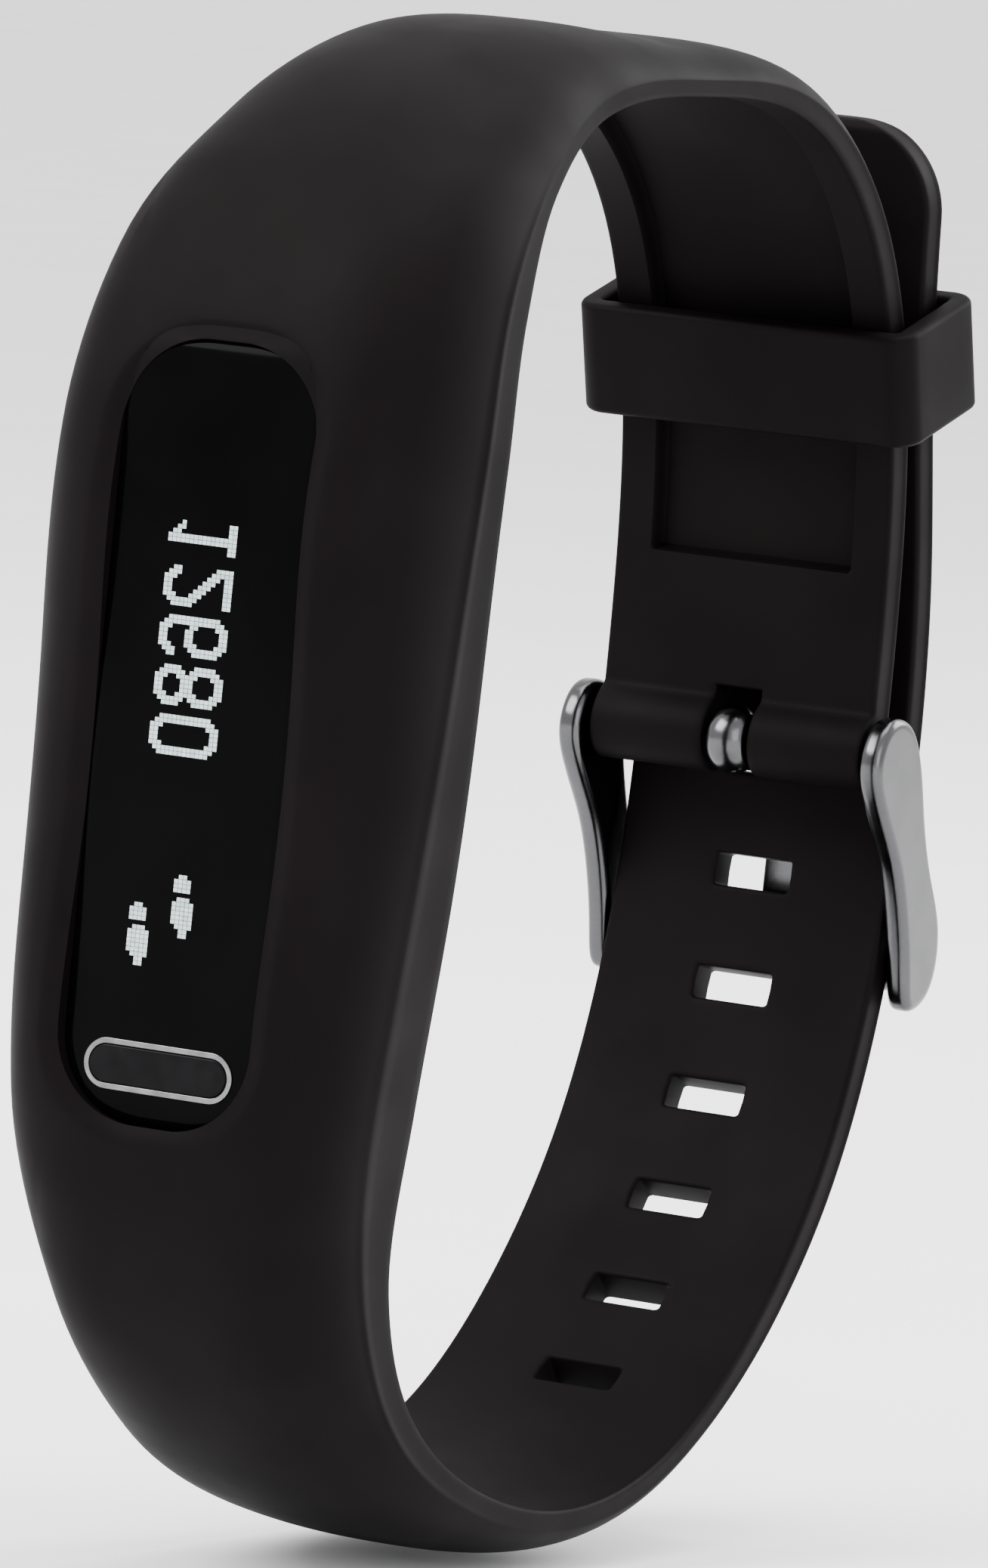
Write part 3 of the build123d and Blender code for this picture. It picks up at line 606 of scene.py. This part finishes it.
keeper = Skin()
keeper_rows = []
depth_middle = KEEPER_FRONT + KEEPER_DEPTH / 2
for x, y, out in keeper_path():
    loop = []
    for thick, up in keeper_section():
        px = x + out[0] * thick
        py = y + out[1] * thick + depth_middle
        y_world = KEEPER_MIDDLE[0] + py * math.cos(KEEPER_LEAN) - up * math.sin(KEEPER_LEAN)
        z_world = KEEPER_MIDDLE[1] + py * math.sin(KEEPER_LEAN) + up * math.cos(KEEPER_LEAN)
        loop.append((px, y_world, z_world))
    keeper_rows.append(keeper.add(loop))
keeper.rings(keeper_rows + keeper_rows[:1])
keeper_piece = make_mesh("keeper_silicone", keeper)
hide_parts("keeper_loop")
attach(keeper_piece, "keeper")

# ---------------------------------------------------------------- lit display pixels
PIXEL_X = 0.268
PIXEL_Z = 0.247
PIXEL_FILL = 0.90            # share of the pitch that is lit
DIGITS_LEFT = -2.6
DIGITS_TOP = 14.9
DIGIT_ADVANCE = 11
DIGITS = "12680"
GLYPHS = {
    "0": [
        "..#####..",
        ".#######.",
        "###...###",
        "##.....##",
        "##.....##",
        "##.....##",
        "##.....##",
        "##.....##",
        "##.....##",
        "##.....##",
        "##.....##",
        "##.....##",
        "##.....##",
        "###...###",
        ".#######.",
        "..#####..",
    ],
    "1": [
        "....##...",
        "...###...",
        "..####...",
        ".##.##...",
        "....##...",
        "....##...",
        "....##...",
        "....##...",
        "....##...",
        "....##...",
        "....##...",
        "....##...",
        "....##...",
        "....##...",
        ".#######.",
        ".#######.",
    ],
    "2": [
        "..#####..",
        ".#######.",
        "###...###",
        "##.....##",
        ".......##",
        ".......##",
        "......###",
        ".....###.",
        "....###..",
        "...###...",
        "..###....",
        ".###.....",
        "###......",
        "##.......",
        "#########",
        "#########",
    ],
    "6": [
        "..#####..",
        ".#######.",
        "###...###",
        "##.....##",
        "##.......",
        "##.......",
        "##.####..",
        "########.",
        "###...###",
        "##.....##",
        "##.....##",
        "##.....##",
        "##.....##",
        "###...###",
        ".#######.",
        "..#####..",
    ],
    "8": [
        "..#####..",
        ".#######.",
        "###...###",
        "##.....##",
        "##.....##",
        "###...###",
        ".#######.",
        "..#####..",
        ".#######.",
        "###...###",
        "##.....##",
        "##.....##",
        "##.....##",
        "###...###",
        ".#######.",
        "..#####..",
    ],
}
FOOTPRINT = [
    ".##..",
    "####.",
    "####.",
    "####.",
    ".....",
    ".###.",
    "#####",
    "#####",
    "#####",
    "#####",
    "#####",
    ".####",
    "..##.",
    "..##.",
]
FOOTPRINT_PLACES = ((-0.15, -4.6), (-2.75, -6.4))
GLASS_Y = FACE_Y - 0.012

pixels = Skin()


def pixel(x, z):
    half_x = PIXEL_X * PIXEL_FILL / 2
    half_z = PIXEL_Z * PIXEL_FILL / 2
    front = [
        (x + sx * half_x, GLASS_Y, z + sz * half_z) for sx, sz in ((-1, -1), (1, -1), (1, 1), (-1, 1))
    ]
    back = [(px, GLASS_Y + 0.008, pz) for px, _, pz in front]
    front_ids = pixels.add(front)
    back_ids = pixels.add(back)
    pixels.faces.append(tuple(front_ids))
    pixels.faces.append(tuple(back_ids[::-1]))
    pixels.ring(front_ids, back_ids)


for place_in_row, digit in enumerate(DIGITS):
    for down, line in enumerate(GLYPHS[digit]):
        for over, mark in enumerate(line):
            if mark == "#":
                x = DIGITS_LEFT + (down + 0.5) * PIXEL_X
                z = DIGITS_TOP - (place_in_row * DIGIT_ADVANCE + over + 0.5) * PIXEL_Z
                pixel(x, z)
for left, top in FOOTPRINT_PLACES:
    for down, line in enumerate(FOOTPRINT):
        for over, mark in enumerate(line):
            if mark == "#":
                pixel(left + (over + 0.5) * PIXEL_X, top - (down + 0.5) * PIXEL_Z)
pixel_piece = make_mesh("display_pixels", pixels)
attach(pixel_piece, "tracker")


# ---------------------------------------------------------------- materials
def new_material(name):
    material = bpy.data.materials.new(name)
    material.use_nodes = True
    tree = material.node_tree
    shader = tree.nodes["Principled BSDF"]
    coords = tree.nodes.new("ShaderNodeTexCoord")
    return material, tree, shader, coords.outputs["Object"]


def noise(tree, coords, size, detail=3.0):
    """A noise pattern whose blotches are about size millimetres across."""
    node = tree.nodes.new("ShaderNodeTexNoise")
    node.inputs["Scale"].default_value = 1 / (size * MM)
    node.inputs["Detail"].default_value = detail
    tree.links.new(coords, node.inputs["Vector"])
    return node.outputs["Fac"]


def to_range(tree, value, low, high, from_low=0.35, from_high=0.65):
    node = tree.nodes.new("ShaderNodeMapRange")
    node.inputs["From Min"].default_value = from_low
    node.inputs["From Max"].default_value = from_high
    node.inputs["To Min"].default_value = low
    node.inputs["To Max"].default_value = high
    tree.links.new(value, node.inputs["Value"])
    return node.outputs["Result"]


def colour_mix(tree, factor, a, b):
    node = tree.nodes.new("ShaderNodeMix")
    node.data_type = "RGBA"
    tree.links.new(factor, node.inputs["Factor"])
    node.inputs["A"].default_value = (*a, 1)
    node.inputs["B"].default_value = (*b, 1)
    return node.outputs["Result"]


def bump(tree, shader, heights, edge_round=0.0):
    """Chains (pattern, depth in millimetres) bumps, over edges rounded by a shader bevel."""
    normal = None
    if edge_round:
        rounded = tree.nodes.new("ShaderNodeBevel")
        rounded.samples = 8
        rounded.inputs["Radius"].default_value = edge_round * MM
        normal = rounded.outputs["Normal"]
    for pattern, depth in heights:
        node = tree.nodes.new("ShaderNodeBump")
        node.inputs["Distance"].default_value = depth * MM
        node.inputs["Strength"].default_value = 1.0
        tree.links.new(pattern, node.inputs["Height"])
        if normal is not None:
            tree.links.new(normal, node.inputs["Normal"])
        normal = node.outputs["Normal"]
    if normal is not None:
        tree.links.new(normal, shader.inputs["Normal"])


def surface_material(
    name, dark, light, rough, blotch=3.0, grain=0.12, grain_depth=0.004, metallic=0.0,
    specular=0.5, coat=0.0, edge_round=0.0, sheen=0.0,
):
    """A moulded, cast or ground surface: blotches of colour and roughness over a fine grain."""
    material, tree, shader, coords = new_material(name)
    blotches = noise(tree, coords, blotch)
    tint = colour_mix(tree, to_range(tree, blotches, 0, 1), dark, light)
    tree.links.new(tint, shader.inputs["Base Color"])
    rough_pattern = noise(tree, coords, blotch * 0.6, 5.0)
    tree.links.new(to_range(tree, rough_pattern, rough[0], rough[1]), shader.inputs["Roughness"])
    shader.inputs["Metallic"].default_value = metallic
    shader.inputs["Specular IOR Level"].default_value = specular
    shader.inputs["Coat Weight"].default_value = coat
    shader.inputs["Coat Roughness"].default_value = 0.04
    shader.inputs["Sheen Weight"].default_value = sheen
    bump(tree, shader, [(noise(tree, coords, grain), grain_depth)], edge_round)
    return material


def brushed_material(name, dark, light, rough, direction, edge_round):
    """Metal with fine lines drawn along one direction and a soft broken edge."""
    material, tree, shader, coords = new_material(name)
    mapping = tree.nodes.new("ShaderNodeMapping")
    mapping.inputs["Scale"].default_value = direction
    tree.links.new(coords, mapping.inputs["Vector"])
    lines = noise(tree, mapping.outputs["Vector"], 0.08, 2.0)
    tree.links.new(colour_mix(tree, to_range(tree, lines, 0, 1), dark, light), shader.inputs["Base Color"])
    tree.links.new(to_range(tree, noise(tree, coords, 2.0), rough[0], rough[1]), shader.inputs["Roughness"])
    shader.inputs["Metallic"].default_value = 1.0
    bump(tree, shader, [(lines, 0.0012)], edge_round)
    return material


def pixel_material():
    """Cool lit pixels, each a little uneven, with a gloss of their own."""
    material, tree, shader, coords = new_material("lit_pixel")
    unevenness = to_range(tree, noise(tree, coords, 0.5), 0, 1)
    glow = colour_mix(tree, unevenness, (0.28, 0.34, 0.35), (0.42, 0.49, 0.49))
    tree.links.new(glow, shader.inputs["Base Color"])
    tree.links.new(glow, shader.inputs["Emission Color"])
    shader.inputs["Emission Strength"].default_value = 0.15
    shader.inputs["Roughness"].default_value = 0.35
    return material


silicone = surface_material(
    "silicone", (0.0021, 0.0014, 0.0016), (0.0030, 0.0021, 0.0023), (0.54, 0.60),
    blotch=9.0, grain=0.10, grain_depth=0.002, specular=0.035, sheen=0.0,
)
window = surface_material(
    "smoked_window", (0.0006, 0.0006, 0.0007), (0.0009, 0.0009, 0.0010), (0.08, 0.14),
    blotch=6.0, grain=1.5, grain_depth=0.0003, specular=0.02, coat=0.0,
)
button_gloss = surface_material(
    "button_gloss", (0.0025, 0.0025, 0.0028), (0.004, 0.004, 0.0044), (0.12, 0.22),
    blotch=1.5, grain=0.2, grain_depth=0.0008, specular=0.04, coat=0.0,
)
chrome = surface_material(
    "trim_chrome", (0.10, 0.10, 0.103), (0.15, 0.15, 0.153), (0.10, 0.18),
    blotch=1.0, grain=0.3, grain_depth=0.0006, metallic=1.0, edge_round=0.08,
)
steel = brushed_material(
    "polished_steel", (0.055, 0.055, 0.058), (0.09, 0.09, 0.094), (0.12, 0.22),
    (1, 1, 12), 0.35,
)
bar_steel = brushed_material(
    "ground_steel", (0.42, 0.42, 0.43), (0.58, 0.58, 0.59), (0.2, 0.35),
    (12, 1, 1), 0.05,
)
case_plastic = surface_material(
    "case_plastic", (0.011, 0.011, 0.012), (0.018, 0.018, 0.019), (0.38, 0.52),
    blotch=2.5, grain=0.08, grain_depth=0.004, edge_round=0.1,
)
dark_plastic = surface_material(
    "dark_plastic", (0.02, 0.02, 0.021), (0.04, 0.04, 0.042), (0.4, 0.6),
    blotch=1.5,
)
seal = surface_material(
    "seal_rubber", (0.018, 0.018, 0.019), (0.03, 0.03, 0.032), (0.6, 0.75),
    blotch=1.0,
)
gold = brushed_material(
    "contact_gold", (0.72, 0.50, 0.20), (0.86, 0.64, 0.30), (0.18, 0.34),
    (1, 1, 8), 0.08,
)
panel = surface_material(
    "panel_glass", (0.01, 0.012, 0.015), (0.02, 0.022, 0.026), (0.08, 0.16),
    blotch=4.0, coat=0.5,
)
film = surface_material(
    "flex_film", (0.42, 0.20, 0.03), (0.56, 0.30, 0.06), (0.25, 0.4),
    blotch=1.2, coat=0.3,
)
laminate = surface_material(
    "board_laminate", (0.006, 0.055, 0.035), (0.012, 0.085, 0.05), (0.3, 0.45),
    blotch=1.5, coat=0.2,
)
resin = surface_material(
    "chip_resin", (0.012, 0.012, 0.012), (0.024, 0.024, 0.025), (0.5, 0.65),
    blotch=0.8, grain=0.05,
)
can = brushed_material("shield_can", (0.5, 0.5, 0.5), (0.64, 0.64, 0.63), (0.3, 0.45), (6, 1, 1), 0.06)
ivory = surface_material(
    "connector_plastic", (0.55, 0.50, 0.40), (0.66, 0.61, 0.50), (0.4, 0.5),
    blotch=0.7,
)
foam = surface_material(
    "pad_foam", (0.05, 0.05, 0.055), (0.10, 0.10, 0.105), (0.8, 0.95),
    blotch=0.4, grain=0.15, grain_depth=0.02,
)
foil = surface_material(
    "battery_foil", (0.55, 0.55, 0.57), (0.68, 0.68, 0.70), (0.28, 0.42),
    blotch=2.0, grain=0.9, grain_depth=0.02, metallic=1.0, edge_round=0.15,
)

NODE_MATERIALS = {
    "spring_bar_tube": bar_steel,
    "spring_bar_pin_left": bar_steel,
    "spring_bar_pin_right": bar_steel,
    "spring_bar_spring": bar_steel,
    "buckle_frame": steel,
    "buckle_tang": steel,
    "front_case": case_plastic,
    "rear_case": case_plastic,
    "charging_contacts": gold,
    "case_gasket": seal,
    "display_window": window,
    "button_trim_ring": chrome,
    "button_cap": button_gloss,
    "button_seal": seal,
    "switch_body": dark_plastic,
    "switch_plunger": dark_plastic,
    "window_adhesive": dark_plastic,
    "oled_panel": panel,
    "display_carrier": dark_plastic,
    "display_flex": film,
    "display_connector": ivory,
    "main_board": laminate,
    "microcontroller": resin,
    "radio_module": can,
    "accelerometer": resin,
    "pressure_sensor": can,
    "vibration_motor": can,
    "battery_pad": foam,
    "battery_cell": foil,
}
for node, material in NODE_MATERIALS.items():
    for place_in_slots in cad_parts[node].material_slots:
        place_in_slots.material = material
band_piece.data.materials.append(silicone)
keeper_piece.data.materials.append(silicone)
pixel_piece.data.materials.append(pixel_material())

# ---------------------------------------------------------------- floor and backdrop
FLOOR_Z = cad_low[2] - 0.0006
# the stage reaches well past every camera, so that none of them stands behind its wall
SWEEP_FRONT = -7.0
SWEEP_BACK = 6.0
SWEEP_RADIUS = 1.0
SWEEP_TOP = 6.0
SWEEP_HALF_WIDTH = 8.0
AZIMUTH = math.radians(29.0)

profile = [(SWEEP_FRONT, FLOOR_Z), (SWEEP_BACK, FLOOR_Z)]
for step in range(1, 13):
    angle = math.radians(90 * step / 12)
    back = SWEEP_BACK + SWEEP_RADIUS * math.sin(angle)
    up = FLOOR_Z + SWEEP_RADIUS * (1 - math.cos(angle))
    profile.append((back, up))
profile.append((SWEEP_BACK + SWEEP_RADIUS, FLOOR_Z + SWEEP_TOP))
sweep = Skin()
turn = Matrix.Rotation(AZIMUTH, 3, "Z")
sweep_rows = []
for back, up in profile:
    ends = [turn @ Vector((side * SWEEP_HALF_WIDTH, back, up)) / MM for side in (-1, 1)]
    sweep_rows.append(sweep.add(np.array(ends)))
sweep.grid(np.array(sweep_rows))
backdrop = make_mesh("studio_sweep", sweep)
backdrop.data.materials.append(
    surface_material(
        "pale_sweep", (0.90, 0.90, 0.90), (0.93, 0.93, 0.93), (0.7, 0.85),
        blotch=60.0, grain=3.0, grain_depth=0.02,
    )
)

# ---------------------------------------------------------------- light
def soft_light(name, place_at, aim, size, power, colour=(1, 1, 1)):
    data = bpy.data.lights.new(name, "AREA")
    data.shape = "RECTANGLE"
    data.size, data.size_y = size
    data.energy = power
    data.color = colour
    lamp = bpy.data.objects.new(name, data)
    lamp.location = place_at
    lamp.rotation_euler = (Vector(aim) - Vector(place_at)).to_track_quat("-Z", "Y").to_euler()
    bpy.context.scene.collection.objects.link(lamp)


soft_light("key", (-0.45, -0.55, 0.60), (0, -0.01, 0), (0.5, 0.5), 12.0)
soft_light("fill", (0.75, -0.55, 0.25), (0, 0, 0), (0.6, 0.6), 4.0)
soft_light("top", (0.05, 0.05, 0.85), (0, 0, 0), (0.7, 0.7), 9.0)
soft_light("back", (0.35, 0.75, 0.45), (0, 0.02, 0), (0.5, 0.5), 8.0)
world = bpy.data.worlds.new("studio")
world.use_nodes = True
world.node_tree.nodes["Background"].inputs["Color"].default_value = (1, 1, 1, 1)
world.node_tree.nodes["Background"].inputs["Strength"].default_value = 2.0
bpy.context.scene.world = world

# ---------------------------------------------------------------- camera
ELEVATION = math.radians(4.2)
ROLL = math.radians(5.6)
DISTANCE = 0.650
TARGET = Vector((0.0, FACE_Y * MM, 0.0015))
FOCAL_IN_WIDTHS = 15795 / 1308
TARGET_SHIFT_X = (654 - 249) / 1308
TARGET_SHIFT_Y = -(1037.5 - 1010) / 1308

back_axis = Vector((
    math.sin(AZIMUTH) * math.cos(ELEVATION),
    -math.cos(AZIMUTH) * math.cos(ELEVATION),
    math.sin(ELEVATION),
))
right_axis = Vector((math.cos(AZIMUTH), math.sin(AZIMUTH), 0))
up_axis = back_axis.cross(right_axis)
tilted_right = math.cos(ROLL) * right_axis + math.sin(ROLL) * up_axis
tilted_up = -math.sin(ROLL) * right_axis + math.cos(ROLL) * up_axis
camera_data = bpy.data.cameras.new("camera")
camera_data.sensor_fit = "HORIZONTAL"
camera_data.sensor_width = 36.0
camera_data.lens = FOCAL_IN_WIDTHS * camera_data.sensor_width
camera_data.shift_x = TARGET_SHIFT_X
camera_data.shift_y = TARGET_SHIFT_Y
camera_data.clip_start = 0.01
camera = bpy.data.objects.new("camera", camera_data)
axes = Matrix((tilted_right, tilted_up, back_axis)).transposed().to_4x4()
camera.matrix_world = Matrix.Translation(TARGET + DISTANCE * back_axis) @ axes
bpy.context.scene.collection.objects.link(camera)
bpy.context.scene.camera = camera
